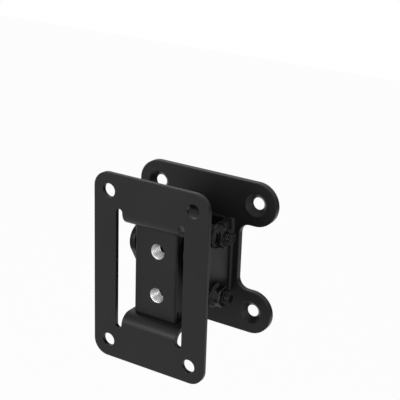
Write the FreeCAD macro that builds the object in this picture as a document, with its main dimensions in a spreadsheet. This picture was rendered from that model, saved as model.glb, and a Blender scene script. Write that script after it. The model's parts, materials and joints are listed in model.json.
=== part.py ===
import FreeCAD, Part
import math
import os
import Sketcher

# Wall bracket for a small loudspeaker, in folded steel sheet.
# Origin at the centre of the wall face, +X to the right, +Y into the wall, +Z up, millimetres.
# From the wall out: a screwed wall plate with a welded fork, a box that tilts between the
# fork's arms on two through bolts, and a speaker plate that swivels on the box's two flanges.

SIZES = {
    # Wall plate
    "wall_sheet": 3.5,
    "wall_hole_span_x": 58.5,
    "wall_hole_span_z": 59.0,
    "wall_hole_diameter": 6.4,
    "wall_countersink_diameter": 12.0,
    "wall_ear_radius": 11.5,
    "wall_web_width": 41.0,
    "wall_notch_radius": 5.75,
    # Fork welded to the wall plate
    "fork_sheet": 3.0,
    "fork_width": 34.4,
    "fork_height": 41.0,
    "fork_bend_radius": 2.2,
    "arm_top_reach": 31.5,
    "arm_foot_reach": 7.5,
    "arm_nose_radius": 8.0,
    "arm_heel_radius": 3.0,
    "tilt_bolt_setback": 16.8,
    "tilt_bolt_margin": 4.5,
    # Weld beads
    "bead_radius": 1.6,
    "bead_inset": 1.1,
    "bead_lift": 0.2,
    "bead_start_radius": 2.3,
    "bead_start_length": 9.0,
    # Tilting box
    "box_sheet": 2.0,
    "box_length": 26.5,
    "box_rise": 3.2,
    "box_corner_radius": 1.5,
    "box_end_radius": 6.5,
    "swivel_setback": 15.0,
    "flange_margin": 7.0,
    "flange_gap": 0.3,
    "flange_relief_width": 1.2,
    "flange_relief_depth": 2.8,
    "corner_relief_depth": 4.7,
    "tilt_limit": 6.0,
    "tilt_spare": 0.3,
    "slot_play": 0.25,
    "slot_wall": 2.0,
    # Liners between the box and the fork's arms
    "liner_left_sheet": 0.8,
    "liner_right_sheet": 2.8,
    "liner_width": 11.0,
    "liner_margin": 4.0,
    "liner_corner_radius": 4.0,
    # Threaded fixing holes in the box
    "fixing_span": 23.2,
    "fixing_diameter": 8.0,
    "weld_nut_flats": 13.0,
    "weld_nut_length": 7.0,
    # Speaker plate
    "plate_lead": 7.0,
    "plate_sheet": 2.5,
    "plate_width": 65.5,
    "plate_height": 98.0,
    "plate_corner_radius": 8.0,
    "plate_hole_span_x": 48.0,
    "plate_hole_span_z": 80.0,
    "plate_hole_diameter": 7.0,
    "window_width": 39.2,
    "tab_width": 32.2,
    "tab_bend_radius": 3.75,
    "tab_reach": 12.0,
    "tab_corner_radius": 11.0,
    # Fasteners
    "bolt_diameter": 6.0,
    "bolt_head_flats": 10.0,
    "bolt_head_length": 4.0,
    "tilt_bolt_length": 45.0,
    "pivot_bolt_length": 12.0,
    "washer_diameter": 12.0,
    "washer_sheet": 1.0,
    "nut_flats": 10.0,
    "nut_length": 6.0,
    "flange_diameter": 13.0,
    "flange_rim": 1.6,
    # Fits: the first two between faces, the rest on the radius
    "liner_play": 0.1,
    "tab_play": 0.1,
    "bolt_hole_play": 0.2,
    "running_play": 0.06,
    "thread_play": 0.05,
}

# Lengths nearer than this count as equal
SAME = 0.001

doc = FreeCAD.newDocument("speaker_wall_bracket")


def make_sheet():
    sheet = doc.addObject("Spreadsheet::Sheet", "sizes")
    for row, (name, size) in enumerate(SIZES.items(), start=1):
        sheet.set(f"A{row}", name)
        sheet.set(f"B{row}", str(size))
        sheet.setAlias(f"B{row}", name)
    doc.recompute()
    return sheet


sheet = make_sheet()

# Places that several pieces share, as formulas of the sheet's cells
BOLT_Y = "(-sizes.wall_sheet - sizes.tilt_bolt_setback)"
BOX_Y = f"({BOLT_Y} - sizes.box_length)"
PLATE_Y = f"({BOX_Y} - sizes.plate_lead)"
SWIVEL_Y = f"({BOX_Y} + sizes.swivel_setback)"
BOLT_Z = "(sizes.fork_height / 2 - sizes.tilt_bolt_margin)"
ARM_INNER_X = "(sizes.fork_width / 2 - sizes.fork_sheet)"
BOX_LEFT = f"({ARM_INNER_X} - sizes.liner_left_sheet - sizes.liner_play)"
BOX_RIGHT = f"({ARM_INNER_X} - sizes.liner_right_sheet - sizes.liner_play)"
BOX_HALF_WIDTH = f"(({BOX_LEFT} + {BOX_RIGHT}) / 2)"
BOX_OFFSET = f"(({BOX_LEFT} - {BOX_RIGHT}) / 2)"
BOX_TOP = "(sizes.fork_height / 2 + sizes.box_rise)"
TAB_Z = f"({BOX_TOP} + sizes.tab_play)"
TAB_BACK = f"({TAB_Z} + sizes.plate_sheet)"
TAB_BEND = "(sizes.tab_bend_radius + sizes.plate_sheet)"
BOLT_HOLE = "(sizes.bolt_diameter / 2 + sizes.bolt_hole_play)"
RUNNING_HOLE = "(sizes.bolt_diameter / 2 + sizes.running_play)"


def value(formula):
    return float(sheet.evalExpression(formula.replace("sizes.", "")))


# Helpers for bodies, sketches and features

def new_body(name, x="0", y="0", z="0", turn=FreeCAD.Rotation()):
    body = doc.addObject("PartDesign::Body", name)
    body.Label = name
    body.Placement = FreeCAD.Placement(FreeCAD.Vector(), turn)
    for axis, formula in (("x", x), ("y", y), ("z", z)):
        body.setExpression(f"Placement.Base.{axis}", formula)
    return body


def new_sketch(body, role, height="0"):
    sketch = body.newObject("Sketcher::SketchObject", f"{body.Name}_sketch")
    plane = [part for part in body.Origin.OriginFeatures if part.Role == role]
    sketch.AttachmentSupport = [(plane[0], "")]
    sketch.MapMode = "FlatFace"
    if height != "0":
        sketch.setExpression("AttachmentOffset.Base.z", height)
    return sketch


def bind(sketch, kind, *where, formula):
    index = sketch.addConstraint(Sketcher.Constraint(kind, *where, value(formula)))
    sketch.setExpression(f"Constraints[{index}]", formula)


def pin(sketch, line, end, across, up):
    # Ties one point to the sketch's axes
    for kind, formula, axis in (("DistanceX", across, -2), ("DistanceY", up, -1)):
        if abs(value(formula)) < SAME:
            sketch.addConstraint(Sketcher.Constraint("PointOnObject", line, end, axis))
        else:
            bind(sketch, kind, -1, 1, line, end, formula=formula)


def outline(sketch, corners):
    # Closed polygon through corners given as pairs of formulas
    points = [FreeCAD.Vector(value(across), value(up), 0) for across, up in corners]
    first = sketch.GeometryCount
    count = len(points)
    for step in range(count):
        sketch.addGeometry(Part.LineSegment(points[step], points[(step + 1) % count]))
    for step in range(count):
        following = first + (step + 1) % count
        sketch.addConstraint(Sketcher.Constraint("Coincident", first + step, 2, following, 1))
        pin(sketch, first + step, 1, *corners[step])


def rectangle(sketch, left, right, low, high):
    outline(sketch, [(left, low), (right, low), (right, high), (left, high)])


def circle(sketch, across, up, radius):
    centre = FreeCAD.Vector(value(across), value(up), 0)
    index = sketch.addGeometry(Part.Circle(centre, FreeCAD.Vector(0, 0, 1), value(radius)))
    bind(sketch, "Radius", index, formula=radius)
    pin(sketch, index, 3, across, up)


def hexagon(sketch, flats):
    # Regular hexagon about the sketch's origin, two of its sides level
    side = f"({flats} * tan(30) / 2)"
    corner = f"({flats} / cos(30) / 2)"
    half = f"({flats} / 2)"
    outline(sketch, [(corner, "0"), (side, half), (f"-{side}", half),
                     (f"-{corner}", "0"), (f"-{side}", f"-{half}"), (side, f"-{half}")])


def pad(body, sketch, length, both_ways=False, backward=False):
    feature = body.newObject("PartDesign::Pad", f"{body.Name}_pad")
    feature.Profile = sketch
    if both_ways:
        feature.SideType = "Symmetric"
    feature.Reversed = backward
    feature.setExpression("Length", length)
    sketch.Visibility = False
    doc.recompute()
    return feature


def pocket(body, sketch, depth, both_ways=False, backward=False):
    before = body.Shape.Volume
    feature = body.newObject("PartDesign::Pocket", f"{body.Name}_pocket")
    feature.Profile = sketch
    if both_ways:
        feature.SideType = "Symmetric"
    feature.Reversed = backward
    feature.setExpression("Length", depth)
    sketch.Visibility = False
    doc.recompute()
    if body.Shape.Volume > before - SAME:
        raise RuntimeError(f"{feature.Name} cuts nothing")
    return feature


def revolve(body, sketch, kind="PartDesign::Revolution"):
    feature = body.newObject(kind, f"{body.Name}_turning")
    feature.Profile = sketch
    feature.ReferenceAxis = (sketch, ["V_Axis"])
    feature.Angle = 360
    sketch.Visibility = False
    doc.recompute()
    return feature


def edges_at(feature, **where):
    # Names of the straight edges whose middle has the given coordinates, either sign
    names = []
    for index, edge in enumerate(feature.Shape.Edges, start=1):
        middle = edge.BoundBox.Center
        if edge.Curve.TypeId == "Part::GeomLine" and all(
                abs(abs(getattr(middle, axis)) - abs(value(formula))) < SAME
                for axis, formula in where.items()):
            names.append(f"Edge{index}")
    return names


def fillet(body, radius, **where):
    base = body.Tip
    names = edges_at(base, **where)
    feature = body.newObject("PartDesign::Fillet", f"{body.Name}_fillet")
    feature.Base = (base, names)
    feature.setExpression("Radius", radius)
    doc.recompute()
    return feature


# Sheet pieces

def wall_plate():
    body = new_body("wall_plate")
    half_x = "(sizes.wall_hole_span_x / 2)"
    half_z = "(sizes.wall_hole_span_z / 2)"
    web = "(sizes.wall_web_width / 2)"
    inner = f"({half_z} - sizes.wall_ear_radius)"
    outer = f"({half_z} + sizes.wall_ear_radius)"

    sketch = new_sketch(body, "XZ_Plane")
    outline(sketch, [
        (f"-{half_x}", outer), (half_x, outer), (half_x, inner), (web, inner),
        (web, f"-{inner}"), (half_x, f"-{inner}"), (half_x, f"-{outer}"), (f"-{half_x}", f"-{outer}"),
        (f"-{half_x}", f"-{inner}"), (f"-{web}", f"-{inner}"), (f"-{web}", inner), (f"-{half_x}", inner)])
    pad(body, sketch, "sizes.wall_sheet")
    fillet(body, "sizes.wall_notch_radius", x=web, z=inner)

    sketch = new_sketch(body, "XZ_Plane")
    for across in (half_x, f"-{half_x}"):
        for up in (half_z, f"-{half_z}"):
            circle(sketch, across, up, "sizes.wall_ear_radius")
    pad(body, sketch, "sizes.wall_sheet")

    sketch = new_sketch(body, "XZ_Plane", "sizes.wall_sheet")
    for across in (half_x, f"-{half_x}"):
        for up in (half_z, f"-{half_z}"):
            circle(sketch, across, up, "sizes.wall_hole_diameter / 2")
    doc.recompute()
    hole = body.newObject("PartDesign::Hole", "wall_plate_hole")
    hole.Profile = sketch
    doc.recompute()
    hole.ThreadType = "None"
    hole.DepthType = "ThroughAll"
    hole.HoleCutType = "Countersink"
    hole.HoleCutCustomValues = True
    hole.setExpression("Diameter", "sizes.wall_hole_diameter")
    hole.setExpression("HoleCutDiameter", "sizes.wall_countersink_diameter")
    hole.HoleCutCountersinkAngle = 90
    sketch.Visibility = False
    doc.recompute()
    return body


def wall_fork():
    # A U in plan: the closed end lies on the wall plate and the arms reach forward.
    # Local origin at the middle of the face on the wall plate.
    body = new_body("wall_fork", y="-sizes.wall_sheet")
    half = "(sizes.fork_height / 2)"
    bolt = "(-sizes.tilt_bolt_setback)"
    top_tip = f"({bolt} - sizes.arm_top_reach)"
    foot_tip = f"({bolt} - sizes.arm_foot_reach)"

    sketch = new_sketch(body, "YZ_Plane")
    outline(sketch, [("0", f"-{half}"), ("0", half), (top_tip, half), (foot_tip, f"-{half}")])
    pad(body, sketch, "sizes.fork_width", both_ways=True)
    fillet(body, "sizes.arm_nose_radius", y=top_tip, z=half)
    fillet(body, "sizes.arm_heel_radius", y=foot_tip, z=half)

    sketch = new_sketch(body, "XY_Plane")
    beyond = f"({top_tip} - sizes.fork_sheet)"
    rectangle(sketch, f"-{ARM_INNER_X}", ARM_INNER_X, beyond, "-sizes.fork_sheet")
    pocket(body, sketch, "2 * sizes.fork_height", both_ways=True)
    fillet(body, "sizes.fork_bend_radius", x=ARM_INNER_X, y="sizes.fork_sheet")
    fillet(body, "sizes.fork_bend_radius + sizes.fork_sheet", x="sizes.fork_width / 2", y="0")

    sketch = new_sketch(body, "YZ_Plane")
    for up in (BOLT_Z, f"-{BOLT_Z}"):
        circle(sketch, bolt, up, BOLT_HOLE)
    pocket(body, sketch, "2 * sizes.fork_width", both_ways=True)
    return body


def arc_slot(sketch, across, up, radius, half_angle, end_radius):
    # Curved slot round a centre, open half an angle either side of straight below it
    hub = FreeCAD.Vector(value(across), value(up), 0)
    normal = FreeCAD.Vector(0, 0, 1)
    swing = math.radians(value(half_angle))
    low = -math.pi / 2 - swing
    high = -math.pi / 2 + swing
    outer_radius = f"({radius} + {end_radius})"
    inner_radius = f"({radius} - {end_radius})"
    outer = sketch.addGeometry(Part.ArcOfCircle(Part.Circle(hub, normal, value(outer_radius)), low, high))
    inner = sketch.addGeometry(Part.ArcOfCircle(Part.Circle(hub, normal, value(inner_radius)), low, high))
    pin(sketch, outer, 3, across, up)
    sketch.addConstraint(Sketcher.Constraint("Coincident", inner, 3, outer, 3))
    bind(sketch, "Radius", outer, formula=outer_radius)
    bind(sketch, "Radius", inner, formula=inner_radius)
    for end, turn, begin in ((1, low, low - math.pi), (2, high, high)):
        middle = hub + FreeCAD.Vector(math.cos(turn), math.sin(turn), 0) * value(radius)
        cap_circle = Part.Circle(middle, normal, value(end_radius))
        cap = sketch.addGeometry(Part.ArcOfCircle(cap_circle, begin, begin + math.pi))
        sketch.addConstraint(Sketcher.Constraint("Tangent", outer, end, cap, 3 - end))
        sketch.addConstraint(Sketcher.Constraint("Tangent", inner, end, cap, end))
        sign = "-" if end == 1 else "+"
        bind(sketch, "DistanceX", -1, 1, cap, 3, formula=f"({across} {sign} {radius} * sin({half_angle}))")


def swivel_box():
    # A channel: a web in front and a side wall each side for the tilt bolts. The right wall
    # carries two flanges, folded in above and below for the swivel bolts.
    # Local origin at the middle of the front face, which lies left of the holes because the
    # right liner is the thicker one.
    body = new_body("swivel_box", x=f"-{BOX_OFFSET}", y=BOX_Y)
    bolt = "sizes.box_length"
    rear = f"({bolt} + sizes.box_end_radius)"
    slot_end = "(sizes.bolt_diameter / 2 + sizes.slot_play)"
    slot_angle = "((sizes.tilt_limit + sizes.tilt_spare) * 1 deg)"
    slot_reach = f"(2 * {BOLT_Z} * sin({slot_angle}))"
    foot = f"({bolt} + {slot_reach} + {slot_end} + sizes.slot_wall)"
    inner = f"({BOX_HALF_WIDTH} - sizes.box_sheet)"
    through = "2 * sizes.fork_height"

    sketch = new_sketch(body, "YZ_Plane")
    outline(sketch, [("0", f"-{BOX_TOP}"), (foot, f"-{BOX_TOP}"), (rear, BOX_TOP), ("0", BOX_TOP)])
    pad(body, sketch, f"2 * {BOX_HALF_WIDTH}", both_ways=True)
    fillet(body, "sizes.box_end_radius", y=rear, z=BOX_TOP)
    fillet(body, "sizes.box_end_radius", y=foot, z=BOX_TOP)

    sketch = new_sketch(body, "XY_Plane")
    rectangle(sketch, f"-{inner}", inner, "sizes.box_sheet", f"2 * {rear}")
    pocket(body, sketch, through, both_ways=True)
    fillet(body, "sizes.box_corner_radius", x=BOX_HALF_WIDTH, y="0")

    # Flanges, and the slits that let them fold clear of the wall
    flange_front = "(sizes.box_sheet + sizes.flange_relief_width)"
    flange_rear = "(sizes.swivel_setback + sizes.flange_margin)"
    flange_middle = f"(({flange_front} + {flange_rear}) / 2)"
    flange_tip = f"-({inner} - sizes.flange_gap)"
    for height in (f"({BOX_TOP} - sizes.box_sheet)", f"-{BOX_TOP}"):
        sketch = new_sketch(body, "XY_Plane", height)
        rectangle(sketch, flange_tip, BOX_HALF_WIDTH, flange_front, flange_rear)
        pad(body, sketch, "sizes.box_sheet")
    slit = "(sizes.flange_relief_width / 2)"
    slits = [(f"({flange_front} - {slit})", f"({BOX_TOP} - sizes.corner_relief_depth)"),
             (f"({flange_rear} + {slit})", f"({BOX_TOP} - sizes.flange_relief_depth)")]
    sketch = new_sketch(body, "YZ_Plane")
    for middle, root in slits:
        for end in ("-", ""):
            rectangle(sketch, f"({middle} - {slit})", f"({middle} + {slit})",
                      f"{end}{root}", f"{end}2 * {BOX_TOP}")
    pocket(body, sketch, "sizes.fork_width", backward=True)
    sketch = new_sketch(body, "YZ_Plane")
    for middle, root in slits:
        for end in ("-", ""):
            circle(sketch, middle, f"{end}{root}", slit)
    pocket(body, sketch, "sizes.fork_width", backward=True)
    fillet(body, "sizes.box_corner_radius", x=BOX_HALF_WIDTH, y=flange_middle, z=BOX_TOP)

    sketch = new_sketch(body, "XY_Plane")
    circle(sketch, BOX_OFFSET, "sizes.swivel_setback", RUNNING_HOLE)
    pocket(body, sketch, through, both_ways=True)

    sketch = new_sketch(body, "XZ_Plane")
    for end in ("-", ""):
        circle(sketch, BOX_OFFSET, f"{end}sizes.fixing_span / 2", "sizes.fixing_diameter / 2")
    pocket(body, sketch, "2 * sizes.box_sheet")

    sketch = new_sketch(body, "YZ_Plane")
    circle(sketch, bolt, BOLT_Z, RUNNING_HOLE)
    arc_slot(sketch, bolt, BOLT_Z, f"(2 * {BOLT_Z})", slot_angle, slot_end)
    pocket(body, sketch, "2 * sizes.fork_width", both_ways=True)
    return body


def speaker_plate():
    # Flat plate with a window; the strips cut free at the window's top and bottom fold back
    # as tabs, above and below the box.
    # Local origin at the middle of the front face.
    body = new_body("speaker_plate", y=PLATE_Y)
    half_width = "(sizes.plate_width / 2)"
    half_height = "(sizes.plate_height / 2)"
    window = "(sizes.window_width / 2)"
    tab = "(sizes.tab_width / 2)"
    slot_middle = f"(({window} + {tab}) / 2)"
    slot_end = f"(({window} - {tab}) / 2)"
    fold = f"({TAB_Z} + {TAB_BEND})"
    root = f"({fold} + sizes.plate_sheet)"
    pivot = "(sizes.plate_lead + sizes.swivel_setback)"
    tab_end = f"({pivot} + sizes.tab_reach)"

    sketch = new_sketch(body, "XZ_Plane")
    rectangle(sketch, f"-{half_width}", half_width, f"-{half_height}", half_height)
    pad(body, sketch, "sizes.plate_sheet", backward=True)
    fillet(body, "sizes.plate_corner_radius", x=half_width, z=half_height)

    sketch = new_sketch(body, "XZ_Plane")
    rectangle(sketch, f"-{window}", window, f"-{fold}", fold)
    pocket(body, sketch, "2 * sizes.plate_sheet")
    sketch = new_sketch(body, "XZ_Plane")
    for side in ("-", ""):
        for end in ("-", ""):
            circle(sketch, f"{side}{slot_middle}", f"{end}{fold}", slot_end)
    pocket(body, sketch, "2 * sizes.plate_sheet")

    sketch = new_sketch(body, "YZ_Plane")
    for end in ("-", ""):
        outline(sketch, [("0", f"{end}{root}"), ("0", f"{end}{TAB_Z}"), (tab_end, f"{end}{TAB_Z}"),
                         (tab_end, f"{end}{TAB_BACK}"), ("sizes.plate_sheet", f"{end}{TAB_BACK}"),
                         ("sizes.plate_sheet", f"{end}{root}")])
    pad(body, sketch, "sizes.tab_width", both_ways=True)
    fillet(body, TAB_BEND, y="0", z=TAB_Z)
    fillet(body, "sizes.tab_bend_radius", y="sizes.plate_sheet", z=TAB_BACK)
    fillet(body, "sizes.tab_corner_radius", x=tab, y=tab_end)

    sketch = new_sketch(body, "XZ_Plane")
    for side in ("-", ""):
        for end in ("-", ""):
            circle(sketch, f"{side}sizes.plate_hole_span_x / 2", f"{end}sizes.plate_hole_span_z / 2",
                   "sizes.plate_hole_diameter / 2")
    pocket(body, sketch, "2 * sizes.plate_sheet")

    sketch = new_sketch(body, "XY_Plane")
    circle(sketch, "0", pivot, RUNNING_HOLE)
    pocket(body, sketch, "2 * sizes.plate_height", both_ways=True)
    return body


def tilt_liner(name, x, thickness):
    # A strip that keeps the box's wall off the fork's arm, with both tilt bolts through it
    body = new_body(name, x, BOLT_Y)
    half_width = "(sizes.liner_width / 2)"
    half_height = f"({BOLT_Z} + sizes.liner_margin)"
    sketch = new_sketch(body, "YZ_Plane")
    rectangle(sketch, f"-{half_width}", half_width, f"-{half_height}", half_height)
    for end in ("-", ""):
        circle(sketch, "0", f"{end}{BOLT_Z}", BOLT_HOLE)
    pad(body, sketch, thickness)
    fillet(body, "sizes.liner_corner_radius", y=half_width, z=half_height)
    return body


# Fasteners, each along its own +Z

ALONG_X = FreeCAD.Rotation(FreeCAD.Vector(0, 1, 0), 90)
ALONG_Y = FreeCAD.Rotation(FreeCAD.Vector(1, 0, 0), -90)
ALONG_Z = FreeCAD.Rotation()
DOWN_Z = FreeCAD.Rotation(FreeCAD.Vector(1, 0, 0), 180)
THREAD_BORE = "(sizes.bolt_diameter / 2 + sizes.thread_play)"


def disc(body, radius, thickness, backward=False):
    sketch = new_sketch(body, "XY_Plane")
    circle(sketch, "0", "0", radius)
    return pad(body, sketch, thickness, backward=backward)


def bore(body, radius):
    sketch = new_sketch(body, "XY_Plane")
    circle(sketch, "0", "0", radius)
    pocket(body, sketch, "2 * sizes.fork_width", both_ways=True)


def hex_bolt(name, length, turn, flange=False, x="0", y="0", z="0"):
    # Local origin under the head, shank along +Z
    body = new_body(name, x, y, z, turn)
    sketch = new_sketch(body, "XY_Plane")
    hexagon(sketch, "sizes.bolt_head_flats")
    pad(body, sketch, "sizes.bolt_head_length", backward=True)
    if flange:
        disc(body, "sizes.flange_diameter / 2", "sizes.flange_rim", backward=True)
    disc(body, "sizes.bolt_diameter / 2", length)
    return body


def washer(name, turn, x, y, z):
    body = new_body(name, x, y, z, turn)
    disc(body, "sizes.washer_diameter / 2", "sizes.washer_sheet")
    bore(body, BOLT_HOLE)
    return body


def hex_nut(name, flats, length, hole, turn, flange=False, x="0", y="0", z="0"):
    # Local origin on the seat
    body = new_body(name, x, y, z, turn)
    sketch = new_sketch(body, "XY_Plane")
    hexagon(sketch, flats)
    pad(body, sketch, length)
    if flange:
        disc(body, "sizes.flange_diameter / 2", "sizes.flange_rim")
    bore(body, hole)
    return body


def tilt_fasteners(level, z):
    outside = "sizes.fork_width / 2"
    under_head = f"-({outside} + sizes.washer_sheet)"
    return [
        hex_bolt(f"tilt_bolt_{level}", "sizes.tilt_bolt_length", ALONG_X, x=under_head, y=BOLT_Y, z=z),
        washer(f"tilt_washer_{level}", ALONG_X, under_head, BOLT_Y, z),
        hex_nut(f"tilt_nut_{level}", "sizes.nut_flats", "sizes.nut_length", THREAD_BORE, ALONG_X,
                flange=True, x=outside, y=BOLT_Y, z=z)]


def pivot_fasteners(level, sign, inward):
    return [
        hex_bolt(f"pivot_bolt_{level}", "sizes.pivot_bolt_length", inward, flange=True,
                 y=SWIVEL_Y, z=f"{sign}{TAB_BACK}"),
        hex_nut(f"pivot_nut_{level}", "sizes.nut_flats", "sizes.nut_length", THREAD_BORE, inward,
                y=SWIVEL_Y, z=f"{sign}({BOX_TOP} - sizes.box_sheet)")]


def weld_nut(level, sign):
    # Welded to the back of the box's web, behind a fixing hole
    return hex_nut(f"weld_nut_{level}", "sizes.weld_nut_flats", "sizes.weld_nut_length",
                   "sizes.fixing_diameter / 2", ALONG_Y,
                   y=f"{BOX_Y} + sizes.box_sheet", z=f"{sign}sizes.fixing_span / 2")


# Weld beads, one down each side of the fork

def weld_bead(name, side, plate, fork):
    # A round run of filler metal in the groove between the fork's bend and the wall plate,
    # thicker at its upper end where it was started, trimmed to the two faces that it joins
    lengths = {"run": ("sizes.bead_radius", "sizes.fork_height", "-sizes.fork_height / 2"),
               "start": ("sizes.bead_start_radius", "sizes.bead_start_length",
                         "sizes.fork_height / 2 - sizes.bead_start_length")}
    rounds = []
    for part, (radius, length, foot) in lengths.items():
        metal = doc.addObject("Part::Cylinder", f"{name}_{part}")
        metal.setExpression("Radius", radius)
        metal.setExpression("Height", length)
        metal.setExpression("Placement.Base.x", f"{side} * (sizes.fork_width / 2 - sizes.bead_inset)")
        metal.setExpression("Placement.Base.y", "-sizes.wall_sheet - sizes.bead_lift")
        metal.setExpression("Placement.Base.z", foot)
        rounds.append(metal)
    bead = doc.addObject("Part::Fuse", f"{name}_metal")
    bead.Base, bead.Tool = rounds
    for joined, trimmed in ((plate, f"{name}_on_plate"), (fork, name)):
        cut = doc.addObject("Part::Cut", trimmed)
        cut.Base = bead
        cut.Tool = joined
        bead = cut
    bead.Label = name
    doc.recompute()
    return bead


plate_piece = wall_plate()
fork_piece = wall_fork()
pieces = [
    plate_piece,
    fork_piece,
    weld_bead("weld_bead_left", "-1", plate_piece, fork_piece),
    weld_bead("weld_bead_right", "1", plate_piece, fork_piece),
    tilt_liner("tilt_liner_left", f"-{ARM_INNER_X}", "sizes.liner_left_sheet"),
    tilt_liner("tilt_liner_right", f"({ARM_INNER_X} - sizes.liner_right_sheet)",
               "sizes.liner_right_sheet"),
    swivel_box(),
    weld_nut("upper", ""),
    weld_nut("lower", "-"),
    speaker_plate()]
pieces += tilt_fasteners("upper", BOLT_Z)
pieces += tilt_fasteners("lower", f"-{BOLT_Z}")
pieces += pivot_fasteners("upper", "", DOWN_Z)
pieces += pivot_fasteners("lower", "-", ALONG_Z)
doc.recompute()

for item in doc.Objects:
    if {"Invalid", "Error"} & set(item.State):
        raise RuntimeError(f"{item.Name} failed: {item.State}")

os.makedirs("parts", exist_ok=True)
for piece in pieces:
    if piece.Shape.isNull() or not piece.Shape.isValid() or len(piece.Shape.Solids) != 1:
        raise RuntimeError(f"{piece.Label} has no single valid solid")
    piece.Shape.exportStep(os.path.join("parts", f"{piece.Label}.step"))
    box = piece.Shape.BoundBox
    print(f"{piece.Label:24s} {piece.Shape.Volume:9.1f} mm3  x {box.XMin:7.2f} {box.XMax:7.2f}"
          f"  y {box.YMin:7.2f} {box.YMax:7.2f}  z {box.ZMin:7.2f} {box.ZMax:7.2f}")
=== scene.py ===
# %% [markdown]
# # A speaker wall bracket, dressed for its portrait
#
# The bracket carries a small loudspeaker on a wall. Three folded sheets of
# steel nest in each other: a fork welded to the wall plate, a box that tilts
# between the fork's arms, and a speaker plate whose two tabs swivel on the box.
#
# All of it could be modelled here again, but then two models would have to
# agree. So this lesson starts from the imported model, which gives every piece its
# true size and place, and adds what is too fine for it: rounded edges, chamfers,
# threads, weld ripples, paint and light.

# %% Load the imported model
import json
import math

import bmesh
import bpy
from mathutils import Matrix, Vector

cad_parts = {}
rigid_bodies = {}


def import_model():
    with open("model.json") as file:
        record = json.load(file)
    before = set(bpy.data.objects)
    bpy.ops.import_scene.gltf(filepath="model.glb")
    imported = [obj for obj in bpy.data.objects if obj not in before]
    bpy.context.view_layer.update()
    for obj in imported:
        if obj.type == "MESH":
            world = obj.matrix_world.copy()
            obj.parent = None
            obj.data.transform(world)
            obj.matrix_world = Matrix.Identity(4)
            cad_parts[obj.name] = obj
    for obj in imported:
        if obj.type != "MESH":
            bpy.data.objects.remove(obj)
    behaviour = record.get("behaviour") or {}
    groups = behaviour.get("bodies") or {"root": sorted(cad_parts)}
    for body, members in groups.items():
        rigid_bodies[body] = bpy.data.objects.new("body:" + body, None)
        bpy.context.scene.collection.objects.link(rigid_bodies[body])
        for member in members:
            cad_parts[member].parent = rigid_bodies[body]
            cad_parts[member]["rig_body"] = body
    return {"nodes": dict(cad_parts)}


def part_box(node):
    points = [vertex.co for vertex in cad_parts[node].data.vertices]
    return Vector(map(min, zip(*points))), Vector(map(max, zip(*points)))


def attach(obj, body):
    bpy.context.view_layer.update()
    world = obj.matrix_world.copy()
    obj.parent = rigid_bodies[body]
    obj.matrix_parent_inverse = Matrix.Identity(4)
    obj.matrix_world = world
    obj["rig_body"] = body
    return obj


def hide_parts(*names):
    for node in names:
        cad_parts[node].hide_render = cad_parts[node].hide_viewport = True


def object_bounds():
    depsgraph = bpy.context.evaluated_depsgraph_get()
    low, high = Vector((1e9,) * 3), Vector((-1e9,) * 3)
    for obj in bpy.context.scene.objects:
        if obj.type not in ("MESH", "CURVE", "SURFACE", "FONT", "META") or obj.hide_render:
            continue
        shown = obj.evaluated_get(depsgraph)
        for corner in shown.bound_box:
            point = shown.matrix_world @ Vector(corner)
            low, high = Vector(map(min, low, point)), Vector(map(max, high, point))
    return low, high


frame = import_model()
cad_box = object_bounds()
print("the packed box runs from", cad_box[0], "to", cad_box[1])

# %% [markdown]
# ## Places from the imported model
#
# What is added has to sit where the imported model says. Its places could be typed
# in again, but they would be wrong as soon as that model changed, so they are
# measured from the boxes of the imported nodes. Blender counts in metres, and so do
# the camera's limits, the lamps, the card and the floor below. A bracket is drawn
# in millimetres, so its own lengths are, until they are multiplied by MM.

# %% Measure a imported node
MM = 0.001
X, Y, Z = 0, 1, 2


def reach(node, axis):
    """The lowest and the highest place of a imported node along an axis, in mm."""
    low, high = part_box(node)
    return low[axis] / MM, high[axis] / MM


def middle(node, axis):
    """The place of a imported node's middle along an axis, in mm."""
    return sum(reach(node, axis)) / 2


print("the tilt bolts lie", round(middle("tilt_bolt_upper", Z), 2), "mm from the middle")

# %% [markdown]
# ## Where the camera stands
#
# A photograph fixes its camera: straight edges that run together give the
# angles, and the spacing of known holes gives the distance. The numbers below
# were worked out that way. A Track To constraint could aim the camera, but it
# keeps the horizon level. A matrix made from three directions keeps the small
# tilt of the photograph as well.

# %% The camera
CAMERA_TURN = math.radians(31.78)
CAMERA_RISE = math.radians(20.14)
CAMERA_TILT = math.radians(1.97)
CAMERA_DISTANCE = 512.2 * MM
CAMERA_SHIFT_RIGHT = -24.83 * MM
CAMERA_SHIFT_UP = -37.97 * MM
PLATE_FRONT = Vector((0, reach("speaker_plate", Y)[0] * MM, 0))
PHOTO_SIDE = 400
FOCAL_PIXELS = 1064
NEAREST_SEEN, FURTHEST_SEEN = 0.01, 20


def add_object(name, data):
    """A new object, linked into the scene."""
    thing = bpy.data.objects.new(name, data)
    bpy.context.scene.collection.objects.link(thing)
    return thing


level_right = Vector((math.cos(CAMERA_TURN), math.sin(CAMERA_TURN), 0))
backward = Vector((math.sin(CAMERA_TURN) * math.cos(CAMERA_RISE),
                   -math.cos(CAMERA_TURN) * math.cos(CAMERA_RISE),
                   math.sin(CAMERA_RISE)))
level_up = backward.cross(level_right)
right = math.cos(CAMERA_TILT) * level_right + math.sin(CAMERA_TILT) * level_up
up = math.cos(CAMERA_TILT) * level_up - math.sin(CAMERA_TILT) * level_right

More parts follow.
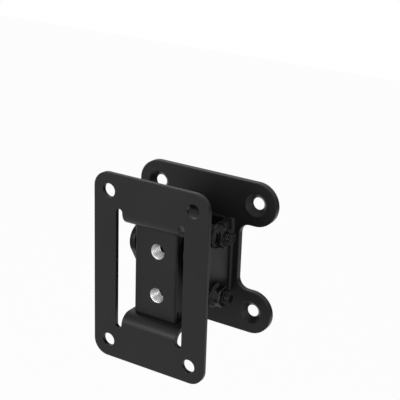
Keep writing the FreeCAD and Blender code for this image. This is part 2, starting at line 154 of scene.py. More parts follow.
camera = add_object("camera", bpy.data.cameras.new("camera"))
camera.data.lens = FOCAL_PIXELS / PHOTO_SIDE * camera.data.sensor_width
camera.data.clip_start = NEAREST_SEEN
camera.data.clip_end = FURTHEST_SEEN
camera.matrix_world = Matrix((right, up, backward)).transposed().to_4x4()
camera.location = (PLATE_FRONT - CAMERA_SHIFT_RIGHT * right - CAMERA_SHIFT_UP * up
                   + CAMERA_DISTANCE * backward)
bpy.context.scene.camera = camera
bpy.context.scene.view_settings.view_transform = "Standard"
print("camera at", camera.location, "with a lens of", round(camera.data.lens, 1), "mm")

# %% [markdown]
# ## Sums on sockets
#
# Finishes and shapes are both made by sums on sockets. Each Math node could be
# wired by hand, as in the node editor, but that hides the idea. So one small
# class wraps a socket and turns a Python expression into nodes, and a second one
# adds any other kind of node from its sockets' values and its settings.


# %% A socket that can be used in a sum
class Wire:
    """An output socket. Each sign in an expression of wires adds a Math node."""

    def __init__(self, bench, socket):
        self.bench = bench
        self.socket = socket

    def math(self, operation, *others):
        return self.bench.math(operation, self, *others)

    def __add__(self, other):
        return self.math("ADD", other)

    def __sub__(self, other):
        return self.math("SUBTRACT", other)

    def __rsub__(self, other):
        return self.bench.math("SUBTRACT", other, self)

    def __mul__(self, other):
        return self.math("MULTIPLY", other)

    def __truediv__(self, other):
        return self.math("DIVIDE", other)

    __radd__ = __add__
    __rmul__ = __mul__

    def at(self, output):
        """Another output of the same node, by its name or its number."""
        return Wire(self.bench, self.socket.node.outputs[output])


# %% The bench that fills a node tree
class Bench:
    """A node tree, and the methods that fill it."""

    def __init__(self, tree):
        self.tree = tree

    def add(self, kind, sockets=None, **settings):
        """A new node, as a wire from its first output. A socket takes a wire or a value."""
        node = self.tree.nodes.new(kind)
        for name, value in settings.items():
            setattr(node, name, value)
        for name, value in (sockets or {}).items():
            if isinstance(value, Wire):
                self.tree.links.new(value.socket, node.inputs[name])
            else:
                node.inputs[name].default_value = value
        return Wire(self, node.outputs[0]) if node.outputs else None

    def math(self, operation, *values):
        return self.add("ShaderNodeMath", dict(enumerate(values)), operation=operation)


# %% [markdown]
# ## Powder coat
#
# Steel brackets are sprayed with powder that melts into a tough skin. It is
# black, half matt, and a little wavy like orange peel. It draws back from sharp
# edges, so they look rounded and catch a thin line of light.
#
# A picture of paint could be wrapped round each sheet, but it would show seams.
# Noise in the piece's own coordinates has none, is sharp at any distance and
# stays on the piece when it moves. A Bevel node rounds the shading at the edges.

# %% What every finish needs
BEVEL_SAMPLES = 6


def new_finish(name):
    """An empty material, its bench and its shader's node."""
    material = bpy.data.materials.new(name)
    material.use_nodes = True
    shader = material.node_tree.nodes["Principled BSDF"]
    return material, Bench(material.node_tree), shader


def feed(bench, node, name, wire):
    """Lead a wire into a node's input."""
    bench.tree.links.new(wire.socket, node.inputs[name])


def cloud_of(bench, scale, detail=3):
    """Soft noise that stays on the piece when it moves."""
    place = bench.add("ShaderNodeTexCoord").at("Object")
    return bench.add("ShaderNodeTexNoise", {"Vector": place, "Scale": scale, "Detail": detail})


def between(bench, factor, dark, light):
    """A colour between two. A Mix node's sockets for colours are numbers 6, 7 and 2."""
    return bench.add("ShaderNodeMix", {0: factor, 6: dark, 7: light}, data_type="RGBA").at(2)


def rounded_edges(bench, radius):
    """A normal that turns smoothly over the edges, as if they had this radius."""
    return bench.add("ShaderNodeBevel", {"Radius": radius}, samples=BEVEL_SAMPLES)


# %% Powder coat
COAT_COLOUR = (0.0085, 0.0086, 0.009, 1)
COAT_LIGHT = (0.0135, 0.0136, 0.014, 1)
COAT_CLOUD_SCALE = 60
COAT_SPECULAR = 0.2
COAT_ROUGHNESS, COAT_ROUGHER = 0.33, 0.1
COAT_EDGE_RADIUS = 0.35 * MM
COAT_PEEL_SCALE = 1100
COAT_PEEL_DETAIL = 2
COAT_PEEL_HEIGHT = 0.02 * MM
COAT_PEEL_STRENGTH = 0.6


def powder_coat():
    material, bench, shader = new_finish("black_powder")
    cloud = cloud_of(bench, COAT_CLOUD_SCALE)
    peel = cloud_of(bench, COAT_PEEL_SCALE, COAT_PEEL_DETAIL)
    skin = bench.add("ShaderNodeBump", {
        "Height": peel, "Strength": COAT_PEEL_STRENGTH, "Distance": COAT_PEEL_HEIGHT,
        "Normal": rounded_edges(bench, COAT_EDGE_RADIUS)})
    feed(bench, shader, "Base Color", between(bench, cloud, COAT_COLOUR, COAT_LIGHT))
    feed(bench, shader, "Roughness", COAT_ROUGHNESS + COAT_ROUGHER * cloud)
    feed(bench, shader, "Normal", skin)
    shader.inputs["Specular IOR Level"].default_value = COAT_SPECULAR
    return material


COAT = powder_coat()
print("powder coat has", len(COAT.node_tree.nodes), "nodes")

# %% [markdown]
# ## Black zinc
#
# The bolts and nuts are plated with zinc and then blackened: a dim metal with a
# hard shine. Along every edge the colour is painted lighter: partly wear, where
# handling has rubbed the black thin, and partly a painted highlight. In the roots
# of the threads the colour is painted darker, as painted shade.
#
# Both could be painted on by hand. Here a Bevel node finds the edges, because its
# rounded normal leans away from the straight one only there. The roots are found
# by the tree that shapes the threads, further on: it stores how deep each point
# lies, and the finish reads that as an attribute.

# %% Black zinc
PLATING_COLOUR = (0.011, 0.011, 0.0115, 1)
PLATING_WORN = (0.021, 0.021, 0.0215, 1)
PLATING_CLOUD_SCALE = 400
PLATING_EDGE_HIGHLIGHT_AND_WEAR = (0.2, 0.2, 0.2, 1)
PLATING_HIGHLIGHT_AND_WEAR_GAIN = 8
PLATING_ROOT_SHADE = 0.7
PLATING_ROUGHNESS, PLATING_ROUGHER = 0.22, 0.12
PLATING_METALLIC = 0.7
PLATING_AT_A_SLANT = (0.3, 0.3, 0.3, 1)
PLATING_EDGE_RADIUS = 0.15 * MM


def root_shaded(bench, colour, share):
    """The colour, darkened by this share in the roots of a thread, as painted shade."""
    root = bench.add("ShaderNodeAttribute", attribute_name="root").at("Fac")
    return bench.add("ShaderNodeVectorMath", {0: colour, "Scale": 1 - root * share},
                     operation="SCALE")


def black_plating():
    material, bench, shader = new_finish("black_plating")
    cloud = cloud_of(bench, PLATING_CLOUD_SCALE)
    rounded = rounded_edges(bench, PLATING_EDGE_RADIUS)
    straight = bench.add("ShaderNodeNewGeometry").at("Normal")
    likeness = bench.add("ShaderNodeVectorMath", {0: rounded, 1: straight},
                         operation="DOT_PRODUCT").at("Value")
    colour = between(bench, cloud, PLATING_COLOUR, PLATING_WORN)
    # Painted highlight, partly wear: a lighter colour along every edge, where the Bevel normal
    # leans away from the true one.
    colour = between(bench, (1 - likeness) * PLATING_HIGHLIGHT_AND_WEAR_GAIN, colour, PLATING_EDGE_HIGHLIGHT_AND_WEAR)
    # Painted shade: the colour is darker in the roots of the threads.
    feed(bench, shader, "Base Color", root_shaded(bench, colour, PLATING_ROOT_SHADE))
    feed(bench, shader, "Roughness", PLATING_ROUGHNESS + PLATING_ROUGHER * cloud)
    feed(bench, shader, "Normal", rounded)
    shader.inputs["Metallic"].default_value = PLATING_METALLIC
    shader.inputs["Specular Tint"].default_value = PLATING_AT_A_SLANT
    return material


PLATING = black_plating()
print("black zinc has", len(PLATING.node_tree.nodes), "nodes")

# %% [markdown]
# ## Bright zinc and nylon
#
# The threads for the speaker's screws were masked from the powder, so they are
# bare zinc: a metal that is as bright as what it mirrors. The liners between the
# box and the fork are moulded nylon, dark and matt. One plain colour could stand
# for either, but a trace of noise keeps a close view from looking flat.

# %% Bright zinc
ZINC_DULL = (0.46, 0.465, 0.47, 1)
ZINC_BRIGHT = (0.7, 0.7, 0.69, 1)
ZINC_CLOUD_SCALE = 500
ZINC_ROOT_SHADE = 0.6
ZINC_ROUGHNESS, ZINC_ROUGHER = 0.34, 0.12


def bright_zinc():
    material, bench, shader = new_finish("bright_zinc")
    cloud = cloud_of(bench, ZINC_CLOUD_SCALE)
    colour = between(bench, cloud, ZINC_DULL, ZINC_BRIGHT)
    # Painted shade: the colour is darker in the roots of the threads.
    feed(bench, shader, "Base Color", root_shaded(bench, colour, ZINC_ROOT_SHADE))
    feed(bench, shader, "Roughness", ZINC_ROUGHNESS + ZINC_ROUGHER * cloud)
    shader.inputs["Metallic"].default_value = 1
    return material


ZINC = bright_zinc()
print("bright zinc has", len(ZINC.node_tree.nodes), "nodes")

# %% Nylon
NYLON_DARK = (0.012, 0.012, 0.012, 1)
NYLON_LIGHT = (0.018, 0.018, 0.018, 1)
NYLON_CLOUD_SCALE = 300
NYLON_CLOUD_DETAIL = 2
NYLON_ROUGHNESS = 0.5


def nylon():
    material, bench, shader = new_finish("nylon")
    cloud = cloud_of(bench, NYLON_CLOUD_SCALE, NYLON_CLOUD_DETAIL)
    feed(bench, shader, "Base Color", between(bench, cloud, NYLON_DARK, NYLON_LIGHT))
    shader.inputs["Roughness"].default_value = NYLON_ROUGHNESS
    return material


NYLON = nylon()
print("nylon has", len(NYLON.node_tree.nodes), "nodes")

# %% [markdown]
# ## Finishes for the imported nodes
#
# The pieces of one bracket come from a few baths and one spray booth, so a few
# finishes serve them all. Each node could be given its material by name, but the
# start of a name already tells what the piece is. The first start that fits
# counts, and what is left is powder coated.

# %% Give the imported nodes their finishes
FINISHES = {"weld_nut_": ZINC, "tilt_liner_": NYLON, "tilt_": PLATING, "pivot_": PLATING}
for name, node in frame["nodes"].items():
    finish = next((f for start, f in FINISHES.items() if name.startswith(start)), COAT)
    node.data.materials.clear()
    node.data.materials.append(finish)
    print(name, "wears", finish.name)

# %% [markdown]
# ## Soft edges
#
# A punched sheet never keeps a razor edge: it is tumbled before the powder goes
# on, and the powder rounds it further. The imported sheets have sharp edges.
#
# A Bevel modifier on them would round the edges between flat facets too. So a
# copy of each is made in bmesh, its flat facets are joined, and only its sharp
# edges are rounded, with real faces. Normals weighted by area then keep each flat
# looking flat up to its rounding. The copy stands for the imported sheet.

# %% One plain mesh from a piece
def plain_mesh(piece):
    """Run a piece's modifiers, drop them and keep the result as its one mesh."""
    ready = piece.evaluated_get(bpy.context.evaluated_depsgraph_get())
    mesh = bpy.data.meshes.new_from_object(ready)
    piece.modifiers.clear()
    piece.data = mesh
    return mesh


def smooth(mesh, sharp_from):
    """Shade a mesh smoothly, except over edges that are sharper than this."""
    mesh.polygons.foreach_set("use_smooth", [True] * len(mesh.polygons))
    mesh.set_sharp_from_angle(angle=sharp_from)


# %% Round the edges of a sheet
SHARP = math.radians(35)
COPLANAR = math.radians(0.5)
SAME_POINT = 0.001 * MM
SOFT_RADIUS = 0.3 * MM
SOFT_STEPS = 3
ROUND_PROFILE = 0.5
LARGEST_FACE_RULES = 100


def softened(name, node_name):
    """A copy of a packed sheet with rounded edges, in its place and on its body."""
    node = frame["nodes"][node_name]
    mesh = node.data.copy()
    mesh.transform(node.matrix_world)
    metal = bmesh.new()
    metal.from_mesh(mesh)
    bmesh.ops.remove_doubles(metal, verts=metal.verts, dist=SAME_POINT)
    bmesh.ops.dissolve_limit(metal, angle_limit=COPLANAR, verts=metal.verts, edges=metal.edges)
    sharp = [edge for edge in metal.edges
             if len(edge.link_faces) == 2 and edge.calc_face_angle() > SHARP]
    before = metal.calc_volume()
    bmesh.ops.bevel(metal, geom=sharp, offset=SOFT_RADIUS, segments=SOFT_STEPS,
                    profile=ROUND_PROFILE, affect="EDGES", clamp_overlap=False)
    bmesh.ops.recalc_face_normals(metal, faces=metal.faces)
    after = metal.calc_volume()
    open_edges = sum(1 for edge in metal.edges if not edge.is_manifold)
    metal.to_mesh(mesh)
    metal.free()

    smooth(mesh, SHARP)
    piece = add_object(name, mesh)
    weights = piece.modifiers.new("weights", "WEIGHTED_NORMAL")
    weights.weight = LARGEST_FACE_RULES
    weights.keep_sharp = True
    mesh = plain_mesh(piece)
    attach(piece, node["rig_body"])
    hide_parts(node_name)
    print(name, "has", len(mesh.polygons), "faces,", open_edges, "open edges and keeps",
          round(after / before, 4), "of its metal")


# %% The four sheets
softened("speaker_sheet", "speaker_plate")
softened("wall_sheet", "wall_plate")
softened("fork_sheet", "wall_fork")
softened("box_sheet", "swivel_box")

# %% [markdown]
# ## From a flat sheet to a turned piece
#
# A bolt, a nut or a washer is turned: the same outline goes all the way round an
# axis. A Screw modifier could spin that outline, but then it would be too late
# for a hexagon or a thread.
#
# So each piece starts as a flat sheet of faces. Along one edge the sheet follows
# the outline, a list of heights and radii in millimetres, and along the other it
# counts one turn. Two marks on each row say whether the piece is a hexagon or
# threaded there. A shape tree then cuts the hexagon and the thread by a formula,
# and rolls the sheet up.

# %% The flat sheet
COLUMNS = 96
PLAIN, HEXAGON, HEX_OVER_CONE = 0, 1, -1
OUTER_THREAD, INNER_THREAD = 1, -1


def flat_sheet(name, outline, columns=COLUMNS):
    """A sheet with the radius along X, the turn along Y and the height along Z.

    Each point of the outline is (height, radius, rows, hexagon, thread), and its
    rows reach back to the point before it. A point without marks is plain.
    """
    rows = []
    last_height, last_radius = outline[0][:2]
    for point in outline:
        height, radius, count, hexagon, thread = (*point, PLAIN, PLAIN)[:5]
        for row in range(1, count + 1):
            share = row / count
            rows.append((last_height + share * (height - last_height),
                         last_radius + share * (radius - last_radius), hexagon, thread))
        last_height, last_radius = height, radius
    wide = columns + 1
    points = [(radius * MM, column / columns, height * MM)
              for height, radius, _, _ in rows for column in range(wide)]
    faces = [(row * wide + column, row * wide + column + 1,
              (row + 1) * wide + column + 1, (row + 1) * wide + column)
             for row in range(len(rows) - 1) for column in range(columns)]
    mesh = bpy.data.meshes.new(name)
    mesh.from_pydata(points, [], faces)
    for label, part in (("hexagon", 2), ("thread", 3)):
        layer = mesh.attributes.new(label, "FLOAT", "POINT")
        layer.data.foreach_set("value", [row[part] for row in rows for _ in range(wide)])
    return mesh


# %% [markdown]
# ## The tree that rolls it up
#
# The tree changes each point's radius, bends the sheet round the X axis and
# welds the seam. A hexagon is the distance from the axis to the nearest of six
# flats. A chamfer needs only the smaller of the cone and the flats, and that
# gives the curved lines of a real nut. A thread is a saw-tooth that climbs by one
# pitch in each turn.
#
# Fasteners come in pairs here. Each could be copied by hand, but the tree sets
# the piece out twice, each with a turn of its own, because no two nuts stop at
# the same angle.

# %% Parts of a shape tree
FULL_TURN = 2 * math.pi
WELD_DISTANCE = 0.002 * MM
SETTING_OUT = {"First Place": "Vector", "Last Place": "Vector",
               "First Turn": "Vector", "Last Turn": "Vector", "Material": "Material"}


def shape_tree(name, *sizes):
    """A new shape tree with these sizes as inputs, its bench and a wire from its inputs."""
    tree = bpy.data.node_groups.new(name, "GeometryNodeTree")
    inputs = {"Geometry": "Geometry", **dict.fromkeys(sizes, "Float"), **SETTING_OUT}
    for label, kind in inputs.items():
        tree.interface.new_socket(label, in_out="INPUT", socket_type=f"NodeSocket{kind}")
    tree.interface.new_socket("Geometry", in_out="OUTPUT", socket_type="NodeSocketGeometry")
    bench = Bench(tree)
    return tree, bench, bench.add("NodeGroupInput")


def unrolled(bench):
    """The radius, the turn and the height of a sheet's points."""
    parts = bench.add("ShaderNodeSeparateXYZ", {0: bench.add("GeometryNodeInputPosition")})
    return parts.at("X"), parts.at("Y"), parts.at("Z")


def around(bench, radius, turn, height):
    """The point at this radius, turn and height, with the height along X."""
    angle = turn * FULL_TURN
    return bench.add("ShaderNodeCombineXYZ", {
        0: height, 1: radius * angle.math("COSINE"), 2: radius * angle.math("SINE")})


# %% Roll up and set out
def rolled(bench, sheet, radius, turn, height):
    """The sheet round the X axis, with its seam and its ends welded shut."""
    bent = bench.add("GeometryNodeSetPosition",
                     {"Geometry": sheet, "Position": around(bench, radius, turn, height)})
    return bench.add("GeometryNodeMergeByDistance",
                     {"Geometry": bent, "Distance": WELD_DISTANCE})


def set_out(bench, piece, given):
    """Two copies of the piece, one at each place and turn that the inputs give.

    A Mix node's sockets for vectors are numbers 4, 5 and 1.
    """
    line = bench.add("GeometryNodeMeshLine", {
        "Count": 2, "Start Location": given.at("First Place"),
        "Offset": given.at("Last Place")}, mode="END_POINTS")
    number = bench.add("GeometryNodeInputIndex")
    own_turn = bench.add("ShaderNodeMix", {
        0: number, 4: given.at("First Turn"), 5: given.at("Last Turn")},
        data_type="VECTOR").at(1)
    rotation = bench.add("FunctionNodeEulerToRotation", {"Euler": own_turn})
    copies = bench.add("GeometryNodeInstanceOnPoints",
                       {"Points": line, "Instance": piece, "Rotation": rotation})
    real = bench.add("GeometryNodeRealizeInstances", {"Geometry": copies})
    painted = bench.add("GeometryNodeSetMaterial",
                        {"Geometry": real, "Material": given.at("Material")})
    bench.add("NodeGroupOutput", {"Geometry": painted})


# %% The tree for bolts, nuts, washers and threads
HEX_SIDES = 6
THREAD_FLAT = 0.12


def mark_of(bench, name):
    """A mark that the sheet's rows carry."""
    return bench.add("GeometryNodeInputNamedAttribute", {"Name": name}, data_type="FLOAT")


def turned_tree():
    tree, bench, given = shape_tree("turned_piece", "Across Flats", "Crest Radius",
                                    "Thread Pitch", "Thread Depth")
    radius, turn, height = unrolled(bench)
    hexagon, thread = mark_of(bench, "hexagon"), mark_of(bench, "thread")

    along_flat = (turn * HEX_SIDES).math("FRACT") - 0.5
    flat = given.at("Across Flats") / 2 / (along_flat * (FULL_TURN / HEX_SIDES)).math("COSINE")
    cut = radius.math("MINIMUM", flat) - radius
    grown = radius.math("MAXIMUM", flat) - radius
    shaped = (radius + hexagon.math("MAXIMUM", 0) * cut
              + (0 - hexagon).math("MAXIMUM", 0) * grown)

    climb = (height / given.at("Thread Pitch") - turn).math("FRACT")
    slope = (climb - 0.5).math("ABSOLUTE") * 2
    slope = (slope - THREAD_FLAT) / (1 - 2 * THREAD_FLAT)
    root = slope.math("MAXIMUM", 0).math("MINIMUM", 1)
    depth = given.at("Thread Depth") * root
    outer = shaped.math("MINIMUM", given.at("Crest Radius") - depth) - shaped
    inner = shaped.math("MAXIMUM", given.at("Crest Radius") + depth) - shaped
    shaped = (shaped + thread.math("MAXIMUM", 0) * outer
              + (0 - thread).math("MAXIMUM", 0) * inner)

    # How deep each point lies; the finishes darken the thread roots by it, as painted shade.
    noted = bench.add("GeometryNodeStoreNamedAttribute", {
        "Geometry": given, "Name": "root", "Value": root * thread.math("ABSOLUTE")},
        data_type="FLOAT", domain="POINT")
    set_out(bench, rolled(bench, noted, shaped, turn, height), given)
    return tree


TURNED = turned_tree()
print("the turned tree has", len(TURNED.nodes), "nodes")

# %% From tree to piece
CREASE = math.radians(20)


def shaped_piece(name, tree, sheet, body, slot, nodes=(), **sizes):
    """Run a tree on a sheet and keep the result as one plain mesh on its body."""
    piece = add_object(name, sheet)
    modifier = piece.modifiers.new("shape", "NODES")
    modifier.node_group = tree
    for socket in tree.interface.items_tree:
        key = socket.name.lower().replace(" ", "_")
        if socket.in_out == "INPUT" and key in sizes:
            modifier[socket.identifier] = sizes[key]
    mesh = plain_mesh(piece)
    skin = bmesh.new()
    skin.from_mesh(mesh)
    bmesh.ops.recalc_face_normals(skin, faces=skin.faces)
    skin.to_mesh(mesh)
    skin.free()
    smooth(mesh, CREASE)
    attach(piece, body)
    if nodes:
        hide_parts(*nodes)
    print(name, "has", len(mesh.polygons), "faces")


def both(name):
    """The names of a pair of nodes."""
    return f"{name}_upper", f"{name}_lower"


def point(x, y, z):
    """A place in metres, from millimetres."""
    return Vector((x, y, z)) * MM


def angles(x, y=0, z=0):
    """Turns about the three axes in radians, from degrees."""
    return Vector([math.radians(angle) for angle in (x, y, z)])


# %% [markdown]
# ## The tilt bolts, washers and nuts
#
# Two M6 bolts cross the fork from left to right. Each has a chamfered head and a
# washer on the left, and on the right a flange nut, past which the last turns of
# the thread stand out. Each piece could be drawn at the origin and moved, but all
# heights are taken along the bolt from the middle of the bracket instead. So the
# outlines read like a drawing of the bolted joint, and need no moving.

# %% Sizes of an M6 fastener
M6_FLATS, M6_CREST, M6_PITCH, M6_DEPTH = 10.0, 2.98, 1.0, 0.65
SHANK = 3.0
CORNER = 5.85
CHAMFER, CHAMFER_FACE, CHAMFER_ROWS = 0.65, 4.7, 8
TIP_CHAMFER, TIP_RADIUS, TIP_ROWS = 0.55, 2.4, 7
ROWS_PER_PITCH = 12
M6_SIZES = {"across_flats": M6_FLATS * MM, "crest_radius": M6_CREST * MM,
            "thread_pitch": M6_PITCH * MM, "thread_depth": M6_DEPTH * MM,
            "material": PLATING}
print("an M6 thread is", round(2 * M6_CREST, 2), "mm wide and", M6_DEPTH, "mm deep")


def rows_of(length, pitch=M6_PITCH):
    """Rows enough for a smooth thread of this length."""
    return max(1, round(abs(length) / pitch * ROWS_PER_PITCH))


def threaded_end(start, end):
    """The outline of a bolt's thread, from its start over its chamfered end."""
    tip = end + math.copysign(TIP_CHAMFER, start - end)
    return [(start, SHANK, 2), (tip, SHANK, rows_of(tip - start), PLAIN, OUTER_THREAD),
            (end, TIP_RADIUS, TIP_ROWS, PLAIN, OUTER_THREAD), (end, 0, 1)]


# %% The bolts
TILT_Y, TILT_Z = middle("tilt_bolt_upper", Y), middle("tilt_bolt_upper", Z)
BOLT_HEAD, BOLT_END = reach("tilt_bolt_upper", X)
HEAD_SEAT, WASHER_BACK = reach("tilt_washer_upper", X)
SEAT_FACE, SEAT_FACE_RADIUS, SEAT_FACE_TAPER = 0.25, 4.8, 0.05
THREAD_START = 22.0
UPPER_BOLT_TURN, LOWER_BOLT_TURN = 12, 41
bolt = [(BOLT_HEAD, 0, 1), (BOLT_HEAD, CHAMFER_FACE, 1),
        (BOLT_HEAD + CHAMFER, CORNER, CHAMFER_ROWS, HEXAGON),
        (HEAD_SEAT - SEAT_FACE, CORNER, 4, HEXAGON),
        (HEAD_SEAT - SEAT_FACE, SEAT_FACE_RADIUS, 1),
        (HEAD_SEAT, SEAT_FACE_RADIUS - SEAT_FACE_TAPER, 1),
        (HEAD_SEAT, SHANK, 1)] + threaded_end(THREAD_START, BOLT_END)
shaped_piece("tilt_bolts", TURNED, flat_sheet("bolt", bolt), "wall_side", "black_zinc",
             both("tilt_bolt"), **M6_SIZES,
             first_place=point(0, TILT_Y, TILT_Z), last_place=point(0, TILT_Y, -TILT_Z),
             first_turn=angles(UPPER_BOLT_TURN), last_turn=angles(LOWER_BOLT_TURN))

# %% The washers
WASHER_BORE = 3.1
WASHER_EDGE = [(0, 5.8), (0.06, 5.94), (0.2, 6.0)]
washer = ([(HEAD_SEAT, WASHER_BORE, 1)]
          + [(HEAD_SEAT + height, radius, 1) for height, radius in WASHER_EDGE]
          + [(WASHER_BACK - height, radius, 1) for height, radius in reversed(WASHER_EDGE)]
          + [(WASHER_BACK, WASHER_BORE, 1), (HEAD_SEAT, WASHER_BORE, 1)])
shaped_piece("tilt_washers", TURNED, flat_sheet("washer", washer), "wall_side", "black_zinc",
             both("tilt_washer"), **M6_SIZES,
             first_place=point(0, TILT_Y, TILT_Z), last_place=point(0, TILT_Y, -TILT_Z))

# %% The flange nuts
NUT_SEAT, NUT_END = reach("tilt_nut_upper", X)
UPPER_NUT_TURN, LOWER_NUT_TURN = 20, 13
NUT_BORE, BORE_MOUTH, BORE_CHAMFER = 3.02, 3.5, 0.45
FLANGE_RIM = [(0, 6.2), (0.1, 6.4), (0.3, 6.5), (0.95, 6.5), (1.25, 6.42), (1.5, 6.2)]
CONE_TOP, CONE_TOP_RADIUS, CONE_ROWS = 2.7, 4.9, 8


def nut_end(seat, end):
    """The outline of a nut, from its flats over its chamfered end and down its bore."""
    inward = math.copysign(1, seat - end)
    return [(end + inward * CHAMFER, CORNER, 3, HEXAGON),
            (end, CHAMFER_FACE, CHAMFER_ROWS, HEXAGON), (end, BORE_MOUTH, 1),
            (end + inward * BORE_CHAMFER, NUT_BORE, 1), (seat, NUT_BORE, 1)]


flange_nut = ([(NUT_SEAT, NUT_BORE, 1)]
              + [(NUT_SEAT + height, radius, 1) for height, radius in FLANGE_RIM]
              + [(NUT_SEAT + CONE_TOP, CONE_TOP_RADIUS, CONE_ROWS, HEX_OVER_CONE)]
              + nut_end(NUT_SEAT, NUT_END))
shaped_piece("tilt_nuts", TURNED, flat_sheet("flange_nut", flange_nut), "wall_side",
             "black_zinc", both("tilt_nut"), **M6_SIZES,
             first_place=point(0, TILT_Y, TILT_Z), last_place=point(0, TILT_Y, -TILT_Z),
             first_turn=angles(UPPER_NUT_TURN), last_turn=angles(LOWER_NUT_TURN))

# %% [markdown]
# ## The swivel bolts and nuts
#
# Above and below, a short flanged bolt passes through a tab of the speaker plate
# and a flange of the box. Its head stands outside, and its nut is inside the box.
# The lower pair could have outlines of its own, but it is the upper pair turned
# over. The nuts keep a flat, not a corner, towards the tilt bolts, which come
# near when the box tilts.

# %% The flanged bolts
SWIVEL_Y = middle("pivot_bolt_upper", Y)
SHANK_END, HEAD_TOP = reach("pivot_bolt_upper", Z)
HEAD_HEIGHT, HEAD_CHAMFER = 4.0, 0.6
HEAD_FLANGE = HEAD_TOP - HEAD_HEIGHT
HEX_FOOT = 2.5
THREAD_LENGTH = 1.9
UPRIGHT, UPSIDE_DOWN = -90, 90
UPPER_HEAD_TURN, LOWER_HEAD_TURN = 10, 33
rim_top, rim_top_radius = FLANGE_RIM[-1]
rim_down = reversed(FLANGE_RIM[:-1])
flanged_bolt = ([(HEAD_TOP, 0, 1), (HEAD_TOP, CHAMFER_FACE, 1),
                 (HEAD_TOP - HEAD_CHAMFER, CORNER, CHAMFER_ROWS, HEXAGON),
                 (HEAD_FLANGE + HEX_FOOT, CORNER, 2, HEXAGON),
                 (HEAD_FLANGE + rim_top, rim_top_radius, CONE_ROWS, HEX_OVER_CONE)]
                + [(HEAD_FLANGE + height, radius, 1) for height, radius in rim_down]
                + [(HEAD_FLANGE, SHANK, 1)]
                + threaded_end(SHANK_END + THREAD_LENGTH, SHANK_END))
shaped_piece("pivot_bolts", TURNED, flat_sheet("flanged_bolt", flanged_bolt), "tilt_box",
             "black_zinc", both("pivot_bolt"), **M6_SIZES,
             first_place=point(0, SWIVEL_Y, 0), last_place=point(0, SWIVEL_Y, 0),
             first_turn=angles(UPPER_HEAD_TURN, UPRIGHT),
             last_turn=angles(LOWER_HEAD_TURN, UPSIDE_DOWN))

# %% Their nuts
INNER_END, INNER_SEAT = reach("pivot_nut_upper", Z)
FLATS_TO_BOLTS = 30
plain_nut = ([(INNER_SEAT, NUT_BORE, 1), (INNER_SEAT, CHAMFER_FACE, 1),
              (INNER_SEAT - CHAMFER, CORNER, CHAMFER_ROWS, HEXAGON)]
             + nut_end(INNER_SEAT, INNER_END))
shaped_piece("pivot_nuts", TURNED, flat_sheet("plain_nut", plain_nut), "tilt_box",
             "black_zinc", both("pivot_nut"), **M6_SIZES,
             first_place=point(0, SWIVEL_Y, 0), last_place=point(0, SWIVEL_Y, 0),
             first_turn=angles(FLATS_TO_BOLTS, UPRIGHT),
             last_turn=angles(FLATS_TO_BOLTS, UPSIDE_DOWN))

# %% [markdown]
# ## The bright threads
#
# The two holes for the speaker's screws are M8. Their thread runs through the
# box's web and the nut welded behind it, and it was kept clear of powder. It
# could be cut into both with a boolean, but that would tear up their meshes. A
# thin sleeve just inside the bore is enough. The same tree cuts it the other way
# round: here the thread grows outward from its smallest radius.

# %% The threaded sleeves
FIXING_Z = middle("weld_nut_upper", Z)
BORE_FRONT, BORE_BACK = reach("swivel_box", Y)[0], reach("weld_nut_upper", Y)[1]
FRONT_INSET, BACK_INSET = 0.5, 0.8
SLEEVE_START, SLEEVE_END = BORE_FRONT + FRONT_INSET, BORE_BACK - BACK_INSET
SLEEVE_RADIUS, SLEEVE_WALL = 3.985, 0.03
MOUTH, MOUTH_ROWS = 0.45, 6
M8_CREST, M8_PITCH, M8_DEPTH = 3.35, 1.25, 0.6
ALONG_Y = 90
LOWER_SLEEVE_TURN = 70
rim_radius = SLEEVE_RADIUS - SLEEVE_WALL
thread_rows = rows_of(SLEEVE_END - SLEEVE_START - 2 * MOUTH, M8_PITCH)
sleeve = [(SLEEVE_END, SLEEVE_RADIUS, 1), (SLEEVE_START, SLEEVE_RADIUS, 1),
          (SLEEVE_START, rim_radius, 1),
          (SLEEVE_START + MOUTH, M8_CREST, MOUTH_ROWS, PLAIN, INNER_THREAD),
          (SLEEVE_END - MOUTH, M8_CREST, thread_rows, PLAIN, INNER_THREAD),
          (SLEEVE_END, rim_radius, MOUTH_ROWS, PLAIN, INNER_THREAD),
          (SLEEVE_END, SLEEVE_RADIUS, 1)]
shaped_piece("fixing_threads", TURNED, flat_sheet("sleeve", sleeve), "tilt_box", "zinc_plate",
             crest_radius=M8_CREST * MM, thread_pitch=M8_PITCH * MM,
             thread_depth=M8_DEPTH * MM, material=ZINC,
             first_place=point(0, 0, FIXING_Z), last_place=point(0, 0, -FIXING_Z),
             first_turn=angles(0, 0, ALONG_Y),
             last_turn=angles(LOWER_SLEEVE_TURN, 0, ALONG_Y))

# %% [markdown]
# ## Weld beads
#
# The fork is welded to the wall plate by one run of filler down each side. Molten
# metal freezes in overlapping crescents, so a bead has ripples, and its start is
# thicker. Ripples could be sculpted, but a saw-tooth along a plain rod comes near
# enough. A noise with a fixed seed keeps them from being all alike.

# %% The tree for beads
BEAD_NOISE_SCALE, BEAD_NOISE_DETAIL = 500, 1
CRESCENT = 0.3


def bead_tree():
    tree, bench, given = shape_tree("weld_bead", "Ripple Length", "Ripple Share", "Wander",
                                    "Seed")
    radius, turn, height = unrolled(bench)
    noise = bench.add("ShaderNodeTexNoise", {
        "Vector": around(bench, radius, turn, height), "W": given.at("Seed"),
        "Scale": BEAD_NOISE_SCALE, "Detail": BEAD_NOISE_DETAIL}, noise_dimensions="4D")
    crescent = (turn * FULL_TURN).math("COSINE") * CRESCENT + noise * given.at("Wander")
    phase = (height / given.at("Ripple Length") + crescent).math("FRACT")
    ripple = (phase - 0.5).math("ABSOLUTE")
    shaped = radius * (1 - given.at("Ripple Share") * 2 * ripple)
    set_out(bench, rolled(bench, given, shaped, turn, height), given)
    return tree


BEAD = bead_tree()
print("the bead tree has", len(BEAD.nodes), "nodes")

